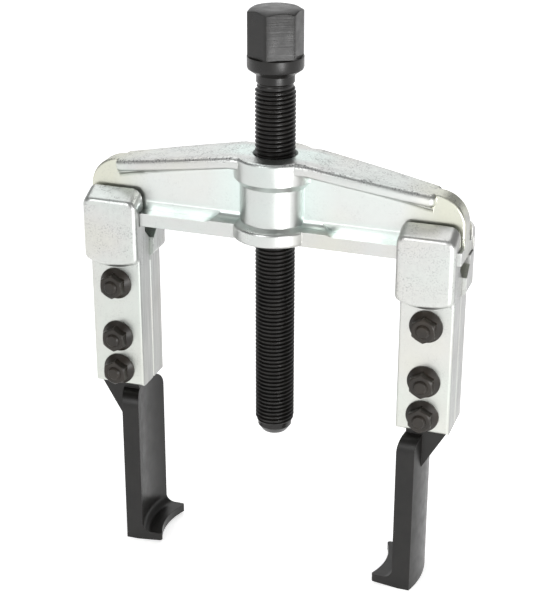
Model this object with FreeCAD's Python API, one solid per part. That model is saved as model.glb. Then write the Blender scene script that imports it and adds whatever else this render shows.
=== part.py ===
"""Two-arm gear puller: forged crossbeam, threaded spindle and two sliding clamped legs with thin hooks.

Millimetres. The puller stands upright on the flat undersides of its two hooks: z = 0 is that plane,
and the spindle's axis is the Z axis. X runs along the crossbeam, and the leg nuts face -Y.
Heights of the beam and the legs are counted from the crossbeam's flat underside, BEAM_Z.
"""
import FreeCAD, Part
import math
import os
from FreeCAD import Vector

# ---- Driving dimensions --------------------------------------------------------------------------
BEAM_Z = 128.0            # crossbeam underside above the hook feet
BEAM_HALF_LENGTH = 68.3
BEAM_CORNER_R = 11.0      # rounded upper corners of the web
WEB_HALF = 3.7            # half thickness of the web
WEB_EDGE_R = 0.9          # rounding round the web's outline
RIDGE_Z = 29.9            # top of the crossbeam over the boss
RIDGE_FLAT_HALF = 14.0    # the ridge is level this far from the axis, then slopes down
RIDGE_SLOPE = 0.165       # fall of the ridge per millimetre outwards
RIDGE_END_X = 58.0        # the wide top flange stops here, short of the web's end
RIDGE_LIP = 4.7           # height of the top flange's edge
RIDGE_HALF_MID = 10.6     # half width of the top flange at the axis
RIDGE_HALF_END = 6.1      # half width of the top flange at its ends
RIDGE_END_R = 2.0         # plan radius of the flange's end corners
RIDGE_EDGE_R = 1.9        # rounding of the flange's edges
RIDGE_ROOT_R = 2.2        # radius between the top flange and the web
PAD_ROOT_R = 3.4          # radius between the bottom flange and the web
TRACK_HALF = 8.5          # half width of the bottom flange, which the legs slide on
TRACK_Z = 4.7             # top of the milled track
PAD_EDGE_Z = 5.2          # as-forged bottom flange, at its edge
PAD_ROOT_Z = 6.2          # as-forged bottom flange, at the web
TRACK_START_X = 24.0      # the milled track is level from here outwards
CUTTER_R = 6.0            # radius that the milling cutter leaves at the track's inner end
CUTTER_WEB_GAP = 0.2      # the cutter stays this clear of the web's face

BOSS_TOP_R = 14.4
BOSS_TOP_UNDER_Z = 21.9   # underside of the upper boss
BOSS_TOP_BLEND = 2.4      # height of the cone under the upper boss
BOSS_MID_R = 12.3
BOSS_FOOT_R = 15.2
BOSS_FOOT_Z = 5.0
BOSS_FOOT_BLEND = 1.4     # height of the cone over the foot
BOSS_EDGE_R = 1.2
BORE_R = 7.1              # spindle thread with running clearance
COUNTERSINK_R = 7.9

THREAD_R = 7.0            # M14 x 1.5
NECK_R = 6.6
HEX_FLATS = 17.0
COLLAR_R = 9.7            # the hexagon is milled out of a barrel of this radius
HEAD_TOP_Z = 80.0         # rest heights of the spindle, over the crossbeam underside
HEX_BOTTOM_Z = 64.0
COLLAR_BOTTOM_Z = 59.6
NECK_TOP_Z = 57.6
THREAD_TOP_Z = 54.2
TIP_CHAMFER_Z = -71.6
TIP_Z = -76.5
TIP_R = 4.7
HEX_TOP_FACE_R = 7.9      # flat top inside the head's 30 degree chamfer
BALL_R = 3.0
BALL_PROUD = 1.5          # the thrust ball stands this far out of the spindle's end

LEG_X = 57.6              # leg centre from the spindle's axis, legs fully spread
LEG_HALF_WIDTH = 9.6
LEG_HALF_DEPTH = 9.4      # outer face of each half from the seam
SEAM_GAP = 0.12           # each half stops this short of the middle
LEG_BOTTOM_Z = -63.3
CAP_DEPTH = 12.0          # the claw block stands proud of the half's face
CAP_OVERHANG = 1.6        # on one side of the claw block only: all four halves are the same part
CAP_EDGE_Z = 9.4          # height of the cap's front edge, where its sloping top begins
CAP_SLOPE = 0.48          # rise of the cap's top per millimetre towards the web
CAP_SIDE_BOTTOM_Z = -13.6
CAP_MID_BOTTOM_Z = -16.2
CAP_TOP_CORNER_R = 3.6
CAP_LOW_CORNER_R = 2.6
CAP_EDGE_R = 2.2
LIP_Y = -5.3              # back of the claw's lip, clear of the web
TRACK_GAP = 0.3           # play between the claw and the track, above, below and in front
POCKET_HALF = 3.9         # relief under the track, between the halves
POCKET_WALL_Z = -3.6
PLATE_EDGE_R = 1.0        # rounding round the outer face of a half
SEAM_CHAMFER = 0.45       # on each half, so that the seam shows as a groove

TONGUE_HALF_WIDTH = 7.5
TONGUE_HALF_THICK = 3.5
TONGUE_TOP_Z = -37.0
TONGUE_GAP = 0.05
HOOK_AXIS_X = 37.9        # blade and claw are curved about a vertical line this far inwards
BLADE_INNER_R = 32.0
BLADE_OUTER_R = 38.2
CLAW_TIP_R = 24.5
BLADE_HALF_WIDTH = 12.0
BLADE_TOP_Z = -66.0
SHOULDER_R = 6.0
NECK_TOP_GAP = 0.1        # neck of the hook to the underside of the halves
NECK_HALF_THICK = 6.5
NECK_INNER_X = 6.3        # neck, towards the claw
GUSSET_TOP_X = -8.8       # neck and gusset, away from the claw
GUSSET_END_Z = -80.0
GUSSET_END_HALF = 2.0     # the gusset ends this far outside the blade's middle
TONGUE_CORNER_R = 2.0
CLAW_SIDE_R = 1.0
CLAW_TOP_Z = -124.0
CLAW_TIP_RISE = 1.3       # the claw's underside rises towards its tip
CLAW_TIP_LAP = 4.0        # and the rise is reached this far past the tip's middle
CLAW_FILLET_R = 3.0

BOLT_HEIGHTS = {"upper": -22.9, "middle": -43.8, "lower": -57.1}
BOLT_R = 2.5              # M5 flange bolts
BOLT_LENGTH = 24.6        # M5 x 25 less the point
BOLT_HOLE_R = 2.75
FLANGE_R = 5.9
FLANGE_THICK = 1.1
FASTENER_FLATS = 8.0
NUT_HEIGHT = 5.0
BOLT_HEAD_HEIGHT = 5.4
NUT_BORE_R = 2.52
FLANGE_EDGE = 0.5         # thickness of a fastener's flange at its rim
FLANGE_CONE = 0.9         # the flange's cone runs this far up the hexagon's flats
CROWN_IN = 0.2            # how far a fastener's hexagon is turned down at its top, and over what height
CROWN_DROP = 0.7
BOLT_POINT = 0.6          # chamfer at a bolt's end

LAP = 1.0                 # cutting tools and joined pieces run this far past the faces they meet
CHAMFER_ANGLE = 30        # of the spindle head
NECK_RUNOUT = 0.4         # height of the cone between thread and neck
SEAT_PLAY = 0.05          # round the thrust ball
ROOT_LAP = 0.3            # the forging radii run this far into the web and the flange

X_AXIS, Y_AXIS, Z_AXIS = Vector(1, 0, 0), Vector(0, 1, 0), Vector(0, 0, 1)
ORIGIN = Vector(0, 0, 0)
NEAR = 0.05               # edges are picked by their middle points to this tolerance


# ---- Helpers -------------------------------------------------------------------------------------
def prism(points, axis, start, end):
    """Polygon extruded along one axis; its points are the other two coordinates in XYZ order."""
    place = {"X": lambda a, b: Vector(start, a, b),
             "Y": lambda a, b: Vector(a, start, b),
             "Z": lambda a, b: Vector(a, b, start)}[axis]
    corners = [place(a, b) for a, b in points]
    direction = {"X": X_AXIS, "Y": Y_AXIS, "Z": Z_AXIS}[axis]
    return Part.Face(Part.makePolygon(corners + corners[:1])).extrude(direction * (end - start))


def box(x, y, z):
    """Block between two limits on each axis."""
    return Part.makeBox(x[1] - x[0], y[1] - y[0], z[1] - z[0], Vector(x[0], y[0], z[0]))


def revolve(profile):
    """Solid of revolution about Z from (radius, height) points that start and end on the axis."""
    corners = [Vector(radius, 0, height) for radius, height in profile]
    return Part.Face(Part.makePolygon(corners + corners[:1])).revolve(ORIGIN, Z_AXIS, 360)


def rounded(solid, radius, chosen):
    """Fillet the edges whose middle point satisfies the test."""
    edges = [edge for edge in solid.Edges if chosen(edge.CenterOfMass)]
    return solid.makeFillet(radius, edges)


def near(value, target, tolerance=NEAR):
    return abs(value - target) < tolerance


def hexagon(flats, start, end):
    """Hexagonal prism along Z with two corners on the Y axis."""
    corner = flats / math.sqrt(3)
    angles = [math.radians(30 + 60 * k) for k in range(6)]
    return prism([(corner * math.cos(a), corner * math.sin(a)) for a in angles], "Z", start, end)


def ridge_z(x):
    """Height of the crossbeam's top line at a distance from the axis."""
    return RIDGE_Z - RIDGE_SLOPE * max(abs(x) - RIDGE_FLAT_HALF, 0)


# ---- Crossbeam -----------------------------------------------------------------------------------
def web():
    end_z = ridge_z(BEAM_HALF_LENGTH)
    outline = [(-BEAM_HALF_LENGTH, 0), (BEAM_HALF_LENGTH, 0), (BEAM_HALF_LENGTH, end_z),
               (RIDGE_FLAT_HALF, RIDGE_Z), (-RIDGE_FLAT_HALF, RIDGE_Z), (-BEAM_HALF_LENGTH, end_z)]
    plate = prism(outline, "Y", -WEB_HALF, WEB_HALF)
    return rounded(plate, BEAM_CORNER_R, lambda p: near(abs(p.x), BEAM_HALF_LENGTH) and near(p.z, end_z))


def top_flange():
    """Wide sloping flange along the top, bowed in plan and narrower towards its ends."""
    end_x, mid, end = RIDGE_END_X, RIDGE_HALF_MID, RIDGE_HALF_END
    front = Part.Arc(Vector(-end_x, -end, 0), Vector(0, -mid, 0), Vector(end_x, -end, 0)).toShape()
    back = Part.Arc(Vector(end_x, end, 0), Vector(0, mid, 0), Vector(-end_x, end, 0)).toShape()
    right = Part.makeLine(Vector(end_x, -end, 0), Vector(end_x, end, 0))
    left = Part.makeLine(Vector(-end_x, end, 0), Vector(-end_x, -end, 0))
    plan = Part.Face(Part.Wire([front, right, back, left])).extrude(Z_AXIS * 2 * RIDGE_Z)
    top = [(end_x + LAP, ridge_z(end_x + LAP)), (RIDGE_FLAT_HALF, RIDGE_Z),
           (-RIDGE_FLAT_HALF, RIDGE_Z), (-end_x - LAP, ridge_z(end_x + LAP))]
    band = prism(top + [(x, z - RIDGE_LIP) for x, z in reversed(top)], "Y", -mid - LAP, mid + LAP)
    flange = plan.common(band)
    flange = rounded(flange, RIDGE_END_R, lambda p: near(abs(p.x), end_x) and near(abs(p.y), end))
    return rounded(flange, RIDGE_EDGE_R,
                   lambda p: abs(p.y) > end - RIDGE_END_R - NEAR or near(abs(p.x), end_x))


def ridge_root(side_x, side_y):
    """Forging radius between the web and the underside of one arm's top flange."""
    start_x, end_x = side_x * (BOSS_TOP_R - LAP), side_x * (RIDGE_END_X - LAP)
    under_z = RIDGE_Z - RIDGE_LIP - RIDGE_SLOPE * (abs(start_x) - RIDGE_FLAT_HALF)
    radius, lap = RIDGE_ROOT_R, ROOT_LAP

    def point(out, up):
        return Vector(start_x, side_y * (WEB_HALF + out), under_z + up)

    bend = radius * (1 - math.sqrt(0.5))
    arc = Part.Arc(point(radius, 0), point(bend, -bend), point(0, -radius)).toShape()
    rest = Part.makePolygon([point(0, -radius), point(-lap, -radius), point(-lap, lap), point(radius, lap),
                             point(radius, 0)])
    run = end_x - start_x
    return Part.Face(Part.Wire([arc] + rest.Edges)).extrude(Vector(run, 0, -RIDGE_SLOPE * abs(run)))


def bottom_flange():
    section = [(-TRACK_HALF, 0), (TRACK_HALF, 0), (TRACK_HALF, PAD_EDGE_Z), (WEB_HALF, PAD_ROOT_Z),
               (-WEB_HALF, PAD_ROOT_Z), (-TRACK_HALF, PAD_EDGE_Z)]
    return prism(section, "X", -BEAM_HALF_LENGTH, BEAM_HALF_LENGTH)


def track_cut(side):
    """What the milling cutter takes off one arm's bottom flange, front and back."""
    clear = TRACK_Z + CUTTER_R
    inner = WEB_HALF + CUTTER_WEB_GAP
    cuts = []
    for y in ((-TRACK_HALF - LAP, -inner), (inner, TRACK_HALF + LAP)):
        x = sorted((side * TRACK_START_X, side * (BEAM_HALF_LENGTH + LAP)))
        slot = box(x, y, (TRACK_Z, clear))
        start = Vector(side * TRACK_START_X, y[0], clear)
        cuts.append(slot.fuse(Part.makeCylinder(CUTTER_R, y[1] - y[0], start, Y_AXIS)))
    return cuts


def boss():
    profile = [(0, 0), (BOSS_FOOT_R, 0), (BOSS_FOOT_R, BOSS_FOOT_Z),
               (BOSS_MID_R, BOSS_FOOT_Z + BOSS_FOOT_BLEND), (BOSS_MID_R, BOSS_TOP_UNDER_Z - BOSS_TOP_BLEND),
               (BOSS_TOP_R, BOSS_TOP_UNDER_Z), (BOSS_TOP_R, RIDGE_Z), (0, RIDGE_Z)]
    solid = revolve(profile)
    return rounded(solid, BOSS_EDGE_R, lambda p: near(p.z, RIDGE_Z) or near(p.z, 0) or near(p.z, BOSS_FOOT_Z))


def threaded_bore():
    sink = COUNTERSINK_R - BORE_R
    return revolve([(0, -LAP), (COUNTERSINK_R + LAP, -LAP), (BORE_R, sink), (BORE_R, RIDGE_Z - sink),
                    (COUNTERSINK_R + LAP, RIDGE_Z + LAP), (0, RIDGE_Z + LAP)])


def crossbeam():
    lower = web().fuse(bottom_flange()).removeSplitter()
    lower = rounded(lower, PAD_ROOT_R, lambda p: near(p.z, PAD_ROOT_Z) and near(abs(p.y), WEB_HALF))
    lower = rounded(lower, WEB_EDGE_R, lambda p: abs(p.x) > RIDGE_END_X and near(abs(p.y), WEB_HALF)
                    and p.z > PAD_ROOT_Z + PAD_ROOT_R)
    roots = [ridge_root(side_x, side_y) for side_x in (-1, 1) for side_y in (-1, 1)]
    beam = lower.fuse([top_flange(), boss()] + roots)
    beam = beam.cut([threaded_bore()] + track_cut(-1) + track_cut(1)).removeSplitter()
    return beam.translated(Z_AXIS * BEAM_Z)


# ---- Spindle -------------------------------------------------------------------------------------
def spindle():
    chamfer_rise = math.tan(math.radians(CHAMFER_ANGLE))
    outside_r = HEX_FLATS / math.sqrt(3) + LAP
    barrel = Part.makeCylinder(COLLAR_R, HEAD_TOP_Z)
    hexagonal = hexagon(HEX_FLATS, HEX_BOTTOM_Z - LAP, HEAD_TOP_Z).common(barrel)
    cone = revolve([(0, HEX_BOTTOM_Z - 2 * LAP), (outside_r, HEX_BOTTOM_Z - 2 * LAP),
                    (outside_r, HEAD_TOP_Z - (outside_r - HEX_TOP_FACE_R) * chamfer_rise),
                    (HEX_TOP_FACE_R, HEAD_TOP_Z), (0, HEAD_TOP_Z)])
    shaft = revolve([(0, TIP_Z), (TIP_R, TIP_Z), (THREAD_R, TIP_CHAMFER_Z), (THREAD_R, THREAD_TOP_Z),
                     (NECK_R, THREAD_TOP_Z + NECK_RUNOUT), (NECK_R, NECK_TOP_Z), (COLLAR_R, COLLAR_BOTTOM_Z),
                     (COLLAR_R, HEX_BOTTOM_Z), (0, HEX_BOTTOM_Z)])
    seat = Part.makeSphere(BALL_R + SEAT_PLAY, Vector(0, 0, ball_z()))
    whole = shaft.fuse(hexagonal.common(cone)).cut(seat).removeSplitter()
    return whole.translated(Z_AXIS * BEAM_Z)


def ball_z():
    """Centre of the thrust ball over the crossbeam's underside."""
    return TIP_Z - BALL_PROUD + BALL_R


def thrust_ball():
    return Part.makeSphere(BALL_R, Vector(0, 0, BEAM_Z + ball_z()))


# ---- Legs ----------------------------------------------------------------------------------------
def cap_top_z(y):
    """Height of the claw block's sloping top."""
    return CAP_EDGE_Z + CAP_SLOPE * (y + CAP_DEPTH)


def claw_block():
    """Thick upper end of a half: a claw that hooks over the track, with rounded edges."""
    left, right = -LEG_HALF_WIDTH - CAP_OVERHANG, LEG_HALF_WIDTH
    top_z = cap_top_z(0)
    low_left, low_right = Vector(left, 0, CAP_SIDE_BOTTOM_Z), Vector(right, 0, CAP_SIDE_BOTTOM_Z)
    low_mid = Vector((left + right) / 2, 0, CAP_MID_BOTTOM_Z)
    high_left, high_right = Vector(left, 0, top_z), Vector(right, 0, top_z)
    outline = Part.Wire([Part.Arc(low_left, low_mid, low_right).toShape(),
                         Part.makeLine(low_right, high_right), Part.makeLine(high_right, high_left),
                         Part.makeLine(high_left, low_left)])
    block = Part.Face(outline).extrude(-Y_AXIS * CAP_DEPTH)
    outside_y = -CAP_DEPTH - LAP
    slope = prism([(0, top_z), (-CAP_DEPTH, CAP_EDGE_Z), (outside_y, CAP_EDGE_Z), (outside_y, top_z + LAP),
                   (0, top_z + LAP)], "X", left - LAP, right + LAP)
    block = block.cut(slope)
    middle = -CAP_DEPTH / 2

    def on_side(p):
        return near(p.y, middle) and (near(p.x, left) or near(p.x, right))

    block = rounded(block, CAP_TOP_CORNER_R, lambda p: on_side(p) and near(p.z, cap_top_z(middle)))
    block = rounded(block, CAP_LOW_CORNER_R, lambda p: on_side(p) and near(p.z, CAP_SIDE_BOTTOM_Z))
    return rounded(block, CAP_EDGE_R, lambda p: p.y < -CAP_DEPTH + 0.6)


def leg_half():
    """Front half about the leg's own centre line. The back half is the same part turned round."""
    width = (-LEG_HALF_WIDTH, LEG_HALF_WIDTH)
    plate = box(width, (-LEG_HALF_DEPTH, -SEAM_GAP), (LEG_BOTTOM_Z, CAP_EDGE_Z - 2 * LAP))
    plate = rounded(plate, PLATE_EDGE_R, lambda p: near(p.y, -LEG_HALF_DEPTH))
    half = plate.fuse(claw_block())
    wide = (-LEG_HALF_WIDTH - CAP_OVERHANG - LAP, LEG_HALF_WIDTH + LAP)
    play = TRACK_GAP
    top_z = cap_top_z(0) + LAP
    over_track = box(wide, (LIP_Y, LAP), (0, top_z))
    track_slot = box(wide, (-TRACK_HALF - play, LAP), (-play, TRACK_Z + play))
    pocket_tip = POCKET_WALL_Z - POCKET_HALF
    pocket = prism([(-POCKET_HALF, 0), (-POCKET_HALF, POCKET_WALL_Z), (0, pocket_tip), (LAP, pocket_tip),
                    (LAP, 0)], "X", *wide)
    behind_seam = box(wide, (-SEAM_GAP, LAP), (LEG_BOTTOM_Z - LAP, top_z))
    recess_half = TONGUE_HALF_WIDTH + TONGUE_GAP
    recess = box((-recess_half, recess_half), (-TONGUE_HALF_THICK - TONGUE_GAP, LAP),
                 (LEG_BOTTOM_Z - LAP, TONGUE_TOP_Z + TONGUE_GAP))
    holes = [Part.makeCylinder(BOLT_HOLE_R, CAP_DEPTH, Vector(0, -CAP_DEPTH, z), Y_AXIS)
             for z in BOLT_HEIGHTS.values()]
    seams = [seam_chamfer(-LEG_HALF_WIDTH, CAP_MID_BOTTOM_Z), seam_chamfer(LEG_HALF_WIDTH, pocket_tip)]
    return half.cut([over_track, track_slot, pocket, behind_seam, recess] + seams + holes).removeSplitter()


def seam_chamfer(edge_x, top_z):
    """Bevel along one side of the seam, up to a height."""
    outward = math.copysign(1, edge_x)
    inner_x, outer_x = edge_x - outward * SEAM_CHAMFER, edge_x + outward * LAP
    deep_y = -SEAM_GAP - SEAM_CHAMFER
    return prism([(inner_x, 0), (outer_x, 0), (outer_x, deep_y), (edge_x, deep_y), (inner_x, -SEAM_GAP)],
                 "Z", LEG_BOTTOM_Z - LAP, top_z)


def curved_slab(inner_r, outer_r, bottom, top):
    """Piece of a tube about the hook's vertical line, between flat sides at the blade's width."""
    centre = Vector(HOOK_AXIS_X, 0, bottom)
    height = top - bottom
    tube = Part.makeCylinder(outer_r, height, centre).cut(Part.makeCylinder(inner_r, height, centre))
    window = box((HOOK_AXIS_X - outer_r - LAP, HOOK_AXIS_X - inner_r / 2),
                 (-BLADE_HALF_WIDTH, BLADE_HALF_WIDTH), (bottom, top))
    return tube.common(window)


def hook_blade():
    """Curved blade with its claw, about the leg's own centre line; the claw points towards +X."""
    inner_mid = HOOK_AXIS_X - BLADE_INNER_R

    def on_side(p):
        return near(abs(p.y), BLADE_HALF_WIDTH)

    blade = curved_slab(BLADE_INNER_R, BLADE_OUTER_R, -BEAM_Z, BLADE_TOP_Z)
    blade = rounded(blade, SHOULDER_R, lambda p: near(p.z, BLADE_TOP_Z) and on_side(p))
    claw = curved_slab(CLAW_TIP_R, BLADE_OUTER_R - LAP, -BEAM_Z, CLAW_TOP_Z)
    claw_mid_z = (CLAW_TOP_Z - BEAM_Z) / 2
    claw = rounded(claw, CLAW_SIDE_R, lambda p: p.x > inner_mid + 2 and on_side(p) and near(p.z, claw_mid_z))
    body = blade.fuse(claw).removeSplitter()
    body = rounded(body, CLAW_FILLET_R, lambda p: near(p.z, CLAW_TOP_Z) and near(p.x, inner_mid, 2))
    tip_x = HOOK_AXIS_X - CLAW_TIP_R + CLAW_TIP_LAP
    underside = prism([(inner_mid, -BEAM_Z - LAP), (inner_mid, -BEAM_Z), (tip_x, -BEAM_Z + CLAW_TIP_RISE),
                       (tip_x, -BEAM_Z - LAP)], "Y", -BLADE_HALF_WIDTH - LAP, BLADE_HALF_WIDTH + LAP)
    return body.cut(underside)


def hook():
    """Hook about the leg's own centre line: tongue between the halves, neck, gusset, blade and claw."""
    tongue = box((-TONGUE_HALF_WIDTH, TONGUE_HALF_WIDTH), (-TONGUE_HALF_THICK, TONGUE_HALF_THICK),
                 (BLADE_TOP_Z, TONGUE_TOP_Z))
    tongue = rounded(tongue, TONGUE_CORNER_R,
                     lambda p: near(p.z, TONGUE_TOP_Z) and near(abs(p.x), TONGUE_HALF_WIDTH))
    blade_x = HOOK_AXIS_X - (BLADE_INNER_R + BLADE_OUTER_R) / 2
    neck_z = LEG_BOTTOM_Z - NECK_TOP_GAP
    gusset = prism([(GUSSET_TOP_X, neck_z), (blade_x - GUSSET_END_HALF, GUSSET_END_Z),
                    (blade_x, GUSSET_END_Z), (blade_x, BLADE_TOP_Z - SHOULDER_R),
                    (NECK_INNER_X, BLADE_TOP_Z), (NECK_INNER_X, neck_z)],
                   "Y", -NECK_HALF_THICK, NECK_HALF_THICK)
    depth = 2 * TONGUE_HALF_THICK
    holes = [Part.makeCylinder(BOLT_HOLE_R, 2 * depth, Vector(0, -depth, z), Y_AXIS)
             for name, z in BOLT_HEIGHTS.items() if name != "upper"]
    return hook_blade().fuse([tongue, gusset]).cut(holes).removeSplitter()


# ---- Fasteners, modelled along +Z and then laid along Y ------------------------------------------
def flanged_hexagon(height):
    """Hexagon with a round flange under it; the flange's face is at z = 0."""
    cone_z = FLANGE_THICK + FLANGE_CONE
    skirt = revolve([(0, 0), (FLANGE_R, 0), (FLANGE_R, FLANGE_EDGE), (FASTENER_FLATS / 2, cone_z),
                     (0, cone_z)])
    outside_r = FASTENER_FLATS / math.sqrt(3) + CROWN_IN
    crown = revolve([(0, 0), (outside_r, 0), (outside_r, height - CROWN_DROP),
                     (FASTENER_FLATS / 2 - CROWN_IN, height), (0, height)])
    return skirt.fuse(hexagon(FASTENER_FLATS, 0, height).common(crown)).removeSplitter()


def bolt():
    shank = revolve([(0, LAP), (BOLT_R, LAP), (BOLT_R, BOLT_POINT - BOLT_LENGTH),
                     (BOLT_R - BOLT_POINT, -BOLT_LENGTH), (0, -BOLT_LENGTH)])
    return flanged_hexagon(BOLT_HEAD_HEIGHT).fuse(shank).removeSplitter()


def nut():
    bore = Part.makeCylinder(NUT_BORE_R, NUT_HEIGHT + 2 * LAP, Vector(0, 0, -LAP))
    return flanged_hexagon(NUT_HEIGHT).cut(bore).removeSplitter()


def turned(shape, axis, angle):
    return shape.rotated(ORIGIN, axis, angle)


def leg_nodes(side_name, side):
    """All the pieces of one leg, placed at full spread. side is -1 for left and 1 for right."""
    front = leg_half()
    blade = hook() if side < 0 else turned(hook(), Z_AXIS, 180)
    pieces = {"leg_front_half": front, "leg_back_half": turned(front, Z_AXIS, 180), "hook": blade}
    for name, z in BOLT_HEIGHTS.items():
        head_on_back = turned(bolt(), X_AXIS, -90)
        nut_on_front = turned(nut(), X_AXIS, 90)
        pieces[name + "_bolt"] = head_on_back.translated(Vector(0, LEG_HALF_DEPTH, z))
        pieces[name + "_nut"] = nut_on_front.translated(Vector(0, -LEG_HALF_DEPTH, z))
    place = Vector(side * LEG_X, 0, BEAM_Z)
    return {side_name + "_" + name: shape.translated(place) for name, shape in pieces.items()}


def main():
    nodes = {"crossbeam": crossbeam(), "spindle": spindle(), "thrust_ball": thrust_ball()}
    nodes.update(leg_nodes("left", -1))
    nodes.update(leg_nodes("right", 1))
    os.makedirs("parts", exist_ok=True)
    for name, shape in nodes.items():
        solids = shape.Solids
        print(f"{name}: {len(solids)} solid, {shape.Volume:.0f} mm3, valid {shape.isValid()}")
        shape.exportStep(f"parts/{name}.step")


main()
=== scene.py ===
"""Looks of the two-arm gear puller: zinc-plated forged beam and clamped legs, blackened spindle and hooks.

Metres, in the frame of the CAD model. The crossbeam's underside is BEAM_Z above the hook feet.
"""

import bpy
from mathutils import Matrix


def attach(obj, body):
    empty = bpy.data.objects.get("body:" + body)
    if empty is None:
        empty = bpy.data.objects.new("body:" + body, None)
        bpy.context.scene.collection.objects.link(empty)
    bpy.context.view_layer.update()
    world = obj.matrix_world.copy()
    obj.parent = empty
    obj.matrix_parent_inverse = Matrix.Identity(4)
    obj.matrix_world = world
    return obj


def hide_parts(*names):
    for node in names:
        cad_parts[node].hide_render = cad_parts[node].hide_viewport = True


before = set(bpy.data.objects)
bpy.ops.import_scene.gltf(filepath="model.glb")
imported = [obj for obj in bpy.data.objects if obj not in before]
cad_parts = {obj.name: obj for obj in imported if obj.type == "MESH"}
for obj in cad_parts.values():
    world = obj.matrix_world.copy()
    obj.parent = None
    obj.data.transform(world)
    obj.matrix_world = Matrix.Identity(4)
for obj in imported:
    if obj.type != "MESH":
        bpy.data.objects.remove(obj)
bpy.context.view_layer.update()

import math

import bmesh
import bpy
from mathutils import Matrix, Vector

MM = 0.001
BEAM_Z = 128 * MM

# ---- Camera --------------------------------------------------------------------------------------
CAMERA_AZIMUTH = math.radians(18.88)
CAMERA_ELEVATION = math.radians(23.3)
CAMERA_ROLL = math.radians(0.18)
CAMERA_DISTANCE = 556.6 * MM
CAMERA_TARGET = Vector((0.75, 0.0, 104.46)) * MM
CAMERA_LENS = 101.53
SENSOR_WIDTH = 36.0
CLIP_START, CLIP_END = 0.01, 50.0


def direction(azimuth, elevation):
    """Unit vector from the object; azimuth 0 is towards -Y, and 90 degrees is towards +X."""
    return Vector((math.sin(azimuth) * math.cos(elevation), -math.cos(azimuth) * math.cos(elevation),
                   math.sin(elevation)))


def make_camera():
    data = bpy.data.cameras.new("camera")
    data.sensor_fit = "HORIZONTAL"
    data.sensor_width = SENSOR_WIDTH
    data.lens = CAMERA_LENS
    data.clip_start = CLIP_START
    data.clip_end = CLIP_END
    camera = bpy.data.objects.new("camera", data)
    bpy.context.scene.collection.objects.link(camera)
    back = direction(CAMERA_AZIMUTH, CAMERA_ELEVATION)
    aim = back.to_track_quat("Z", "Y").to_matrix().to_4x4()
    camera.matrix_world = (Matrix.Translation(CAMERA_TARGET + back * CAMERA_DISTANCE) @ aim
                           @ Matrix.Rotation(CAMERA_ROLL, 4, "Z"))
    bpy.context.scene.camera = camera


# ---- Shader graphs -------------------------------------------------------------------------------
BEVEL_SAMPLES = 6
ON_EDGE = 0.86        # cosine between the rounded and the true normal where a point counts as on the edge


class Graph:
    """Short names for the nodes that the materials here are made of."""

    def __init__(self, tree):
        self.tree = tree
        tree.nodes.clear()

    def put(self, value, socket):
        """Link another node's output to a socket, or set a plain value on it."""
        if isinstance(value, bpy.types.NodeSocket):
            self.tree.links.new(value, socket)
        else:
            socket.default_value = value

    def node(self, kind, inputs=None, **settings):
        node = self.tree.nodes.new(kind)
        for key, value in settings.items():
            setattr(node, key, value)
        for key, value in (inputs or {}).items():
            self.put(value, node.inputs[key])
        return node

    def math(self, operation, a, b=0.0):
        return self.node("ShaderNodeMath", {0: a, 1: b}, operation=operation).outputs[0]

    def times(self, a, b):
        return self.math("MULTIPLY", a, b)

    def plus(self, a, b):
        return self.math("ADD", a, b)

    def absolute(self, value):
        return self.math("ABSOLUTE", value)

    def separate(self, vector):
        return self.node("ShaderNodeSeparateXYZ", {0: vector}).outputs

    def place(self):
        return self.node("ShaderNodeTexCoord").outputs["Object"]

    def facing(self):
        """The surface's true normal."""
        return self.node("ShaderNodeNewGeometry").outputs["Normal"]

    def scaled(self, vector, scale):
        return self.node("ShaderNodeMapping", {"Vector": vector, "Scale": scale}).outputs[0]

    def noise(self, vector, scale, detail=3.0, roughness=0.5):
        return self.node("ShaderNodeTexNoise", {"Vector": vector, "Scale": scale, "Detail": detail,
                                                "Roughness": roughness}).outputs[0]

    def remap(self, value, low, high, to_low=0.0, to_high=1.0):
        return self.node("ShaderNodeMapRange", {"Value": value, "From Min": low, "From Max": high,
                                                "To Min": to_low, "To Max": to_high}).outputs[0]

    def mix(self, factor, a, b):
        """Colour a where factor is 0, b where it is 1. A colour mix node's sockets go by number."""
        node = self.node("ShaderNodeMix", data_type="RGBA")
        for index, value in ((0, factor), (6, a), (7, b)):
            self.put(value, node.inputs[index])
        return node.outputs[2]

    def bump(self, height, strength, distance, normal=None):
        inputs = {"Height": height, "Strength": strength, "Distance": distance}
        if normal is not None:
            inputs["Normal"] = normal
        return self.node("ShaderNodeBump", inputs).outputs[0]

    def soft_edges(self, radius):
        """Normal that rounds the edges."""
        return self.node("ShaderNodeBevel", {"Radius": radius}, samples=BEVEL_SAMPLES).outputs[0]

    def edge_nearness(self, rounded):
        """How near a point is to an edge that soft_edges rounds: 1 on the edge, 0 on the flat."""
        same = self.node("ShaderNodeVectorMath", {0: rounded, 1: self.facing()}, operation="DOT_PRODUCT")
        return self.remap(same.outputs["Value"], 1.0, ON_EDGE)

    def surface(self, shader):
        self.node("ShaderNodeOutputMaterial", {"Surface": shader.outputs[0]})


def new_material(name):
    material = bpy.data.materials.new(name)
    material.use_nodes = True
    return material, Graph(material.node_tree)


def grey(value, warm=0.0):
    return (value * (1 + warm), value, value * (1 - warm), 1.0)


# ---- Studio --------------------------------------------------------------------------------------
FLOOR_SIZE = 12.0
FLOOR_DROP = 0.02 * MM        # keeps the floor clear of the hook feet's faces
FLOOR_GLOW = 0.56
# far softboxes light the floor evenly. name: azimuth, elevation and width in degrees, radiance
FAR_SOFTBOXES = {
    "top": (-137, 66, 60, 1.2),
    "back_left": (-162, 26, 42, 0.85),
    "low_front": (-19, 24, 30, 3.4),
}
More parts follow.
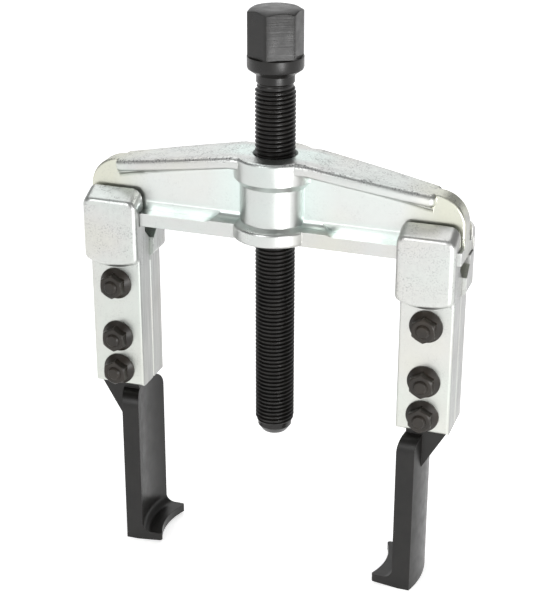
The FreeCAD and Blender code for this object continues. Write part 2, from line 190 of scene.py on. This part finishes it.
# near softboxes. name: azimuth in degrees, distance, height of the middle, width, height, radiance
# the head's is low, because an upright face seen from above mirrors what lies lower than itself
NEAR_SOFTBOXES = {
    "tall": (42, 0.50, 0.30, 0.14, 0.36, 1.6),
    "head": (42, 0.27, 0.095, 0.11, 0.07, 13.0),
}
NEAR_TARGET = Vector((0, 0, 0.20))
# the room's radiance from left to right, with a glow just over the horizon; spans are of the unit direction
ROOM_LEFT, ROOM_RIGHT = 0.22, 0.30
ROOM_SPAN = (-0.5, 0.6)
HORIZON_GLOW = 0.80
HORIZON_SPAN = (0.16, 0.05)


def place_softbox(name, light):
    softbox = bpy.data.objects.new(name, light)
    bpy.context.scene.collection.objects.link(softbox)
    return softbox


def make_far_softbox(name, azimuth, elevation, width, radiance):
    light = bpy.data.lights.new(name, "SUN")
    light.angle = math.radians(width)
    light.energy = radiance * 2 * math.pi * (1 - math.cos(light.angle / 2))
    softbox = place_softbox(name, light)
    out = direction(math.radians(azimuth), math.radians(elevation))
    softbox.rotation_euler = out.to_track_quat("Z", "Y").to_euler()


def make_near_softbox(name, azimuth, distance, middle, width, height, radiance):
    light = bpy.data.lights.new(name, "AREA")
    light.shape = "RECTANGLE"
    light.size = width
    light.size_y = height
    light.energy = radiance * math.pi * width * height
    softbox = place_softbox(name, light)
    softbox.location = direction(math.radians(azimuth), 0) * distance + Vector((0, 0, middle))
    softbox.rotation_euler = (softbox.location - NEAR_TARGET).to_track_quat("Z", "Y").to_euler()
    softbox.visible_camera = False


def make_world():
    world = bpy.data.worlds.new("studio")
    world.use_nodes = True
    bpy.context.scene.world = world
    g = Graph(world.node_tree)
    towards = g.node("ShaderNodeTexCoord").outputs["Generated"]
    axes = g.separate(towards)
    walls = g.remap(axes["X"], *ROOM_SPAN, ROOM_LEFT, ROOM_RIGHT)
    strength = g.plus(walls, g.remap(axes["Z"], *HORIZON_SPAN, 0.0, HORIZON_GLOW))
    sky = g.node("ShaderNodeBackground", {"Color": (1, 1, 1, 1), "Strength": strength})
    g.node("ShaderNodeOutputWorld", {"Surface": sky.outputs[0]})


def make_floor():
    half = FLOOR_SIZE / 2
    corners = [(-half, -half, 0), (half, -half, 0), (half, half, 0), (-half, half, 0)]
    mesh = bpy.data.meshes.new("floor")
    mesh.from_pydata(corners, [], [(0, 1, 2, 3)])
    floor = bpy.data.objects.new("floor", mesh)
    floor.location.z = -FLOOR_DROP
    bpy.context.scene.collection.objects.link(floor)
    material, g = new_material("floor")
    g.surface(g.node("ShaderNodeBsdfPrincipled", {
        "Base Color": (0.93, 0.93, 0.93, 1), "Roughness": 0.9, "Specular IOR Level": 0.1,
        "Emission Color": (1, 1, 1, 1), "Emission Strength": FLOOR_GLOW}))
    mesh.materials.append(material)


def make_studio():
    for name, values in FAR_SOFTBOXES.items():
        make_far_softbox(name, *values)
    for name, values in NEAR_SOFTBOXES.items():
        make_near_softbox(name, *values)
    bpy.context.scene.view_settings.view_transform = "Standard"
    make_world()
    make_floor()


# ---- Zinc plating --------------------------------------------------------------------------------
SILVER = (0.625, 0.625, 0.61, 1)
TEAL = (0.58, 0.70, 0.66, 1)
AQUA = (0.74, 0.88, 0.84, 1)
STRAW = (0.64, 0.64, 0.51, 1)
SOOT = (0.16, 0.16, 0.17, 1)
MILLED = (0.90, 0.92, 0.90, 1)
# pale colour that paints light onto the web
WEB_PAINTED_LIGHT = (0.82, 0.86, 0.83, 1)
SHADOW = grey(0.38)
SIDE_GREY = grey(0.30)

# texture scales, in cells per metre
CLOUD, SMEAR, PATCH, PEEL, MOTTLE, SPECK, GRAIN = 34.0, 90.0, 170.0, 480.0, 650.0, 1500.0, 2200.0
STREAK = (2400.0, 2400.0, 40.0)        # long along Z
ZINC_EDGE_R = 0.3 * MM
ZINC_BUMP, ZINC_BUMP_DEPTH = 0.38, 0.12 * MM


def zinc(name, tint, forged):
    """Zinc plating.

    tint(g, colour) returns the tinted colour, with any painted light, and forged(g, facing) how strong the
    forging's skin is.
    """
    material, g = new_material(name)
    place = g.place()
    facing = g.separate(g.facing())
    side_face = g.remap(g.absolute(facing["X"]), 0.85, 0.97)
    skin = forged(g, facing)

    cloud = g.noise(place, CLOUD, 2.0)
    colour = g.mix(g.remap(cloud, 0.45, 0.70, 0.0, 0.40), SILVER, TEAL)
    colour = g.mix(g.remap(cloud, 0.48, 0.30, 0.0, 0.35), colour, STRAW)
    colour = tint(g, colour)

    fine = g.noise(place, SPECK, 2.0, 0.6)
    where = g.plus(g.noise(place, PATCH, 4.0, 0.65), g.times(skin, 0.08))
    speck = g.times(g.times(g.remap(fine, 0.50, 0.66), g.remap(where, 0.46, 0.66)), skin)
    colour = g.mix(g.times(speck, 0.62), colour, SOOT)
    shade = g.times(g.remap(g.noise(place, MOTTLE, 3.0, 0.6), 0.3, 0.7, -0.13, 0.13), skin)
    colour = g.mix(g.plus(0.13, shade), colour, SHADOW)

    streak = g.remap(g.noise(g.scaled(place, STREAK), 1.0, 3.0, 0.6), 0.34, 0.66, 0.45, 1.0)
    streaked = g.times(streak, side_face)
    colour = g.mix(streaked, colour, SIDE_GREY)

    smooth = g.remap(g.noise(place, SMEAR, 4.0, 0.6), 0.3, 0.7, 0.27, 0.38)
    rough = g.plus(smooth, g.times(speck, 0.25))
    peel = g.times(g.noise(place, PEEL, 3.0, 0.55), g.plus(0.25, skin))
    grain = g.times(g.noise(place, GRAIN, 2.0, 0.5), 0.2)
    height = g.plus(peel, g.plus(grain, g.times(speck, -0.7)))
    height = g.plus(height, g.times(streaked, -0.3))
    normal = g.bump(height, ZINC_BUMP, ZINC_BUMP_DEPTH, g.soft_edges(ZINC_EDGE_R))
    g.surface(g.node("ShaderNodeBsdfPrincipled", {
        "Base Color": colour, "Metallic": 1.0, "Roughness": rough, "Normal": normal}))
    return material


# where each tint, the web's painted light and each skin start and are full
WEB_Y = (7.5 * MM, 4.0 * MM)
WEB_NEAR_BOSS_X = (24 * MM, 12 * MM)
WEB_NEAR_END_X = (46 * MM, 60 * MM)
WEB_LOW_Z = (BEAM_Z + 10 * MM, BEAM_Z + 5.5 * MM)
TRACK_Z = BEAM_Z + 4.7 * MM
TRACK_OFF_Z = (0.15 * MM, 0.05 * MM)
TRACK_START_X = (22 * MM, 24 * MM)
RIDGE_Z = (BEAM_Z + 14 * MM, BEAM_Z + 20 * MM)
PLATE_Z = (BEAM_Z + 12 * MM, BEAM_Z - 60 * MM)
CLAW_BLOCK_Z = (BEAM_Z - 17 * MM, BEAM_Z - 15 * MM)


def beam_tint_and_painted_light(g, colour):
    """Web brightened with painted light, aqua near the boss and low down, straw towards its ends; bare
    milled track.
    """
    axes = g.separate(g.place())
    out_x = g.absolute(axes["X"])
    in_web = g.remap(g.absolute(axes["Y"]), *WEB_Y)
    near_boss = g.remap(out_x, *WEB_NEAR_BOSS_X)
    near_end = g.remap(out_x, *WEB_NEAR_END_X)
    off_track = g.absolute(g.math("SUBTRACT", axes["Z"], TRACK_Z))
    track = g.times(g.remap(off_track, *TRACK_OFF_Z), g.remap(out_x, *TRACK_START_X))
    low = g.remap(axes["Z"], *WEB_LOW_Z)
    # painted light: the web is mixed towards a paler colour
    colour = g.mix(g.times(in_web, 0.45), colour, WEB_PAINTED_LIGHT)
    colour = g.mix(g.times(g.times(in_web, g.math("MAXIMUM", near_boss, low)), 0.6), colour, AQUA)
    colour = g.mix(g.times(g.times(in_web, near_end), 0.75), colour, STRAW)
    return g.mix(track, colour, MILLED)


def beam_skin(g, facing):
    """Rough forging on the ridge's top and round the boss's rim, slight on the web and the flange."""
    high = g.remap(g.separate(g.place())["Z"], *RIDGE_Z)
    upwards = g.remap(facing["Z"], 0.1, 0.6)
    rounding = g.times(upwards, g.remap(facing["Z"], 0.97, 0.80))
    rough = g.plus(g.times(upwards, 0.75), g.times(rounding, 0.7))
    return g.plus(0.18, g.times(high, rough))


def leg_tint(g, colour):
    """A little straw towards the clamped legs' lower ends."""
    low = g.remap(g.separate(g.place())["Z"], *PLATE_Z)
    return g.mix(g.times(low, 0.25), colour, STRAW)


def leg_skin(g, facing):
    """Rough forging on the claw blocks, less on the plates."""
    high = g.remap(g.separate(g.place())["Z"], *CLAW_BLOCK_Z)
    return g.plus(0.25, g.times(high, 0.45))


# ---- Blackened and polished steel ----------------------------------------------------------------
# texture scales, in cells per metre
BLACK_MOTTLE, BLACK_HIGHLIGHT_PATCH, BLACK_SMEAR, BLACK_GRAIN = 120.0, 300.0, 260.0, 3200.0
RINGS = (60.0, 60.0, 2300.0)        # fine along Z
RING_HEIGHT = 5        # against the grain's height
BLACK_EDGE_R = 0.25 * MM
BLACK_BUMP, BLACK_BUMP_DEPTH = 0.3, 0.05 * MM
POLISH_SMEAR = 700.0
POLISH_BUMP, POLISH_BUMP_DEPTH = 0.05, 0.02 * MM


def blackened(name, base, roughness, specular, brown=0.0, turned=0.0):
    """Black oxide or phosphate on steel: satin, slightly mottled, and paler along its edges, where a
    highlight is painted into the colour.

    turned is how strongly cutting marks round the Z axis spread the reflections.
    """
    material, g = new_material(name)
    place = g.place()
    edge_normal = g.soft_edges(BLACK_EDGE_R)
    mottle = g.noise(place, BLACK_MOTTLE, 4.0, 0.6)
    colour = g.mix(g.remap(mottle, 0.35, 0.7), grey(base, brown), grey(base * 2.0, brown * 1.3))
    # painted highlight: the colour turns paler along the rounded edges, in patches
    highlight_patches = g.remap(g.noise(place, BLACK_HIGHLIGHT_PATCH, 3.0), 0.35, 0.7, 0.1, 0.6)
    painted_edge_highlight = g.times(g.edge_nearness(edge_normal), highlight_patches)
    colour = g.mix(painted_edge_highlight, colour, grey(base * 4 + 0.03, brown))
    rough = g.remap(g.noise(place, BLACK_SMEAR, 3.0), 0.3, 0.7, roughness - 0.05, roughness + 0.07)
    grain = g.times(g.noise(place, BLACK_GRAIN, 2.0), 0.3)
    rings = g.times(g.noise(g.scaled(place, RINGS), 1.0, 2.0), RING_HEIGHT * turned)
    normal = g.bump(g.plus(grain, rings), BLACK_BUMP, BLACK_BUMP_DEPTH, edge_normal)
    bsdf = g.node("ShaderNodeBsdfPrincipled", {
        "Base Color": colour, "Metallic": 0.0, "Roughness": rough, "Specular IOR Level": specular,
        "Anisotropic": turned, "Normal": normal})
    if turned:
        round_z = g.node("ShaderNodeTangent", direction_type="RADIAL", axis="Z")
        g.put(round_z.outputs[0], bsdf.inputs["Tangent"])
    g.surface(bsdf)
    return material


def polished(name):
    """Hardened bearing steel."""
    material, g = new_material(name)
    smear = g.noise(g.place(), POLISH_SMEAR, 3.0)
    g.surface(g.node("ShaderNodeBsdfPrincipled", {
        "Base Color": grey(0.62), "Metallic": 1.0, "Roughness": g.remap(smear, 0.3, 0.7, 0.10, 0.22),
        "Normal": g.bump(smear, POLISH_BUMP, POLISH_BUMP_DEPTH)}))
    return material


# ---- CAD nodes -----------------------------------------------------------------------------------
def paint(node, material):
    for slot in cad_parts[node].material_slots:
        slot.material = material


def paint_nodes():
    """Every CAD node that is seen. The spindle is left out, because make_spindle stands for it."""
    leg_zinc = zinc("zinc_leg", leg_tint, leg_skin)
    hook_black = blackened("black_oxide_hook", 0.005, 0.34, 0.36, 0.08)
    nut_black = blackened("phosphated_fastener", 0.009, 0.36, 0.40, 0.25)
    paint("crossbeam", zinc("zinc_beam", beam_tint_and_painted_light, beam_skin))
    paint("thrust_ball", polished("bearing_steel"))
    for side in ("left", "right"):
        for half in ("leg_front_half", "leg_back_half"):
            paint(f"{side}_{half}", leg_zinc)
        paint(f"{side}_hook", hook_black)
        for level in ("upper", "middle", "lower"):
            paint(f"{side}_{level}_bolt", nut_black)
            paint(f"{side}_{level}_nut", nut_black)


# ---- Spindle -------------------------------------------------------------------------------------
PITCH = 1.5 * MM
THREAD_R, THREAD_ROOT_R, NECK_R = 7.0 * MM, 6.1 * MM, 6.6 * MM
THREAD_RUNOUT = 2.2 * MM
# place in the pitch, share of the depth
THREAD_ROWS = ((0.0, 1.0), (0.125, 1.0), (0.44, 0.0), (0.685, 0.0))
COLLAR_R = 9.7 * MM
HEX_HALF_FLATS = 8.5 * MM
HEX_FACE_R = 7.9 * MM
HEX_CHAMFER = math.radians(30)
SEGMENTS = 84
STEP = 2 * math.pi / SEGMENTS
SHARP_ANGLE = math.radians(32)
SAME_POINT, NO_LENGTH = 1e-6, 1e-7
# heights over the crossbeam's underside, in millimetres
TIP_Z, TIP_SHOULDER_Z, THREAD_LOW_Z, THREAD_HIGH_Z, HEAD_TOP_Z = -76.5, -74.2, -73.2, 54.4, 80.0


def at(height):
    """Height over the crossbeam's underside, in millimetres, to metres in the frame."""
    return BEAM_Z + height * MM


def hexagon_r(angle):
    """Radius of the hexagon, with corners towards -Y and +Y and turned down to the collar's size."""
    sector = math.pi / 3
    off = (angle + sector / 2) % sector - sector / 2
    return min(HEX_HALF_FLATS / math.cos(off), COLLAR_R)


def chamfer_z(angle):
    """Height at which the head's chamfer meets the hexagon."""
    return at(HEAD_TOP_Z) - (hexagon_r(angle) - HEX_FACE_R) * math.tan(HEX_CHAMFER)


def plain_rows(outline):
    """Rows of (radius, height) points round the Z axis. Either one may be a function of the angle."""
    def value(of, angle):
        return of(angle) if callable(of) else of

    return [[(value(r, i * STEP), value(z, i * STEP)) for i in range(SEGMENTS)] for r, z in outline]


def helix_rows(low, high, root_r, crest_r, runout):
    """Rows of (radius, height) points of a helical thread, which fades out at both ends."""
    rows = []
    for turn in range(-1, math.ceil((high - low) / PITCH) + 2):
        for share, depth in THREAD_ROWS:
            row = []
            for column in range(SEGMENTS):
                height = low + PITCH * (turn + share + column / SEGMENTS) - PITCH
                clamped = min(max(height, low), high)
                fade = min((clamped - low) / runout, (high - clamped) / runout, 1.0)
                row.append((root_r + (crest_r - root_r) * depth * max(fade, 0.0), clamped))
            rows.append(row)
    return rows


def lathe(name, below, thread, above):
    """Closed mesh about the Z axis: plain rows, then helical rows, then plain rows."""
    mesh = bmesh.new()

    def rings(rows):
        return [[mesh.verts.new((r * math.cos(i * STEP), r * math.sin(i * STEP), z))
                 for i, (r, z) in enumerate(row)] for row in rows]

    def skin(first, second):
        for i in range(SEGMENTS):
            j = (i + 1) % SEGMENTS
            mesh.faces.new((first[i], first[j], second[j], second[i]))

    def cap(ring):
        centre = mesh.verts.new((0, 0, ring[0].co.z))
        for i in range(SEGMENTS):
            mesh.faces.new((ring[i], ring[(i + 1) % SEGMENTS], centre))

    def skin_helix(helix):
        """A turn's last column joins the first column of the row one turn up."""
        per_turn, last = len(THREAD_ROWS), SEGMENTS - 1
        for k in range(len(helix) - 1):
            a, b = helix[k], helix[k + 1]
            for i in range(last):
                mesh.faces.new((a[i], a[i + 1], b[i + 1], b[i]))
            if k + 1 + per_turn < len(helix):
                c, d = helix[k + per_turn], helix[k + 1 + per_turn]
                mesh.faces.new((a[last], c[0], d[0], b[last]))

    lower, helix, upper = rings(below), rings(thread), rings(above)
    for stack in (lower, upper):
        for a, b in zip(stack, stack[1:]):
            skin(a, b)
    skin(lower[-1], helix[0])
    skin_helix(helix)
    skin(helix[-1], upper[0])
    cap(lower[0])
    cap(upper[-1])
    bmesh.ops.remove_doubles(mesh, verts=mesh.verts, dist=SAME_POINT)
    bmesh.ops.dissolve_degenerate(mesh, dist=NO_LENGTH, edges=mesh.edges)
    bmesh.ops.recalc_face_normals(mesh, faces=mesh.faces)
    data = bpy.data.meshes.new(name)
    mesh.to_mesh(data)
    mesh.free()
    data.shade_smooth()
    data.set_sharp_from_angle(angle=SHARP_ANGLE)
    piece = bpy.data.objects.new(name, data)
    bpy.context.scene.collection.objects.link(piece)
    return piece


def make_spindle():
    """The CAD spindle's shank is plain; this piece has the real thread, at the same size."""
    tip = [(3.0 * MM, at(TIP_Z)), (4.4 * MM, at(TIP_Z)), (4.7 * MM, at(TIP_Z + 0.3)),
           (THREAD_ROOT_R, at(TIP_SHOULDER_Z)), (THREAD_ROOT_R, at(THREAD_LOW_Z))]
    neck = [(THREAD_ROOT_R, at(54.6)), (NECK_R, at(55.2)), (NECK_R, at(57.6)), (NECK_R + 0.4 * MM, at(58.0))]
    collar = [(8.9 * MM, at(59.3)), (9.45 * MM, at(59.7)), (COLLAR_R, at(60.4)), (COLLAR_R, at(63.9))]
    hexagon = [(hexagon_r, at(64.1)), (hexagon_r, at(66.0)), (hexagon_r, chamfer_z),
               (HEX_FACE_R, at(HEAD_TOP_Z)), (4.0 * MM, at(HEAD_TOP_Z))]
    thread = helix_rows(at(THREAD_LOW_Z), at(THREAD_HIGH_Z), THREAD_ROOT_R, THREAD_R, THREAD_RUNOUT)
    spindle = lathe("spindle_threaded", plain_rows(tip), thread, plain_rows(neck + collar + hexagon))
    spindle.data.materials.append(blackened("black_oxide_screw", 0.004, 0.30, 0.38, 0.10, 0.4))
    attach(spindle, "screw")
    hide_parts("spindle")


# ---- Build ---------------------------------------------------------------------------------------
make_camera()
make_studio()
paint_nodes()
make_spindle()
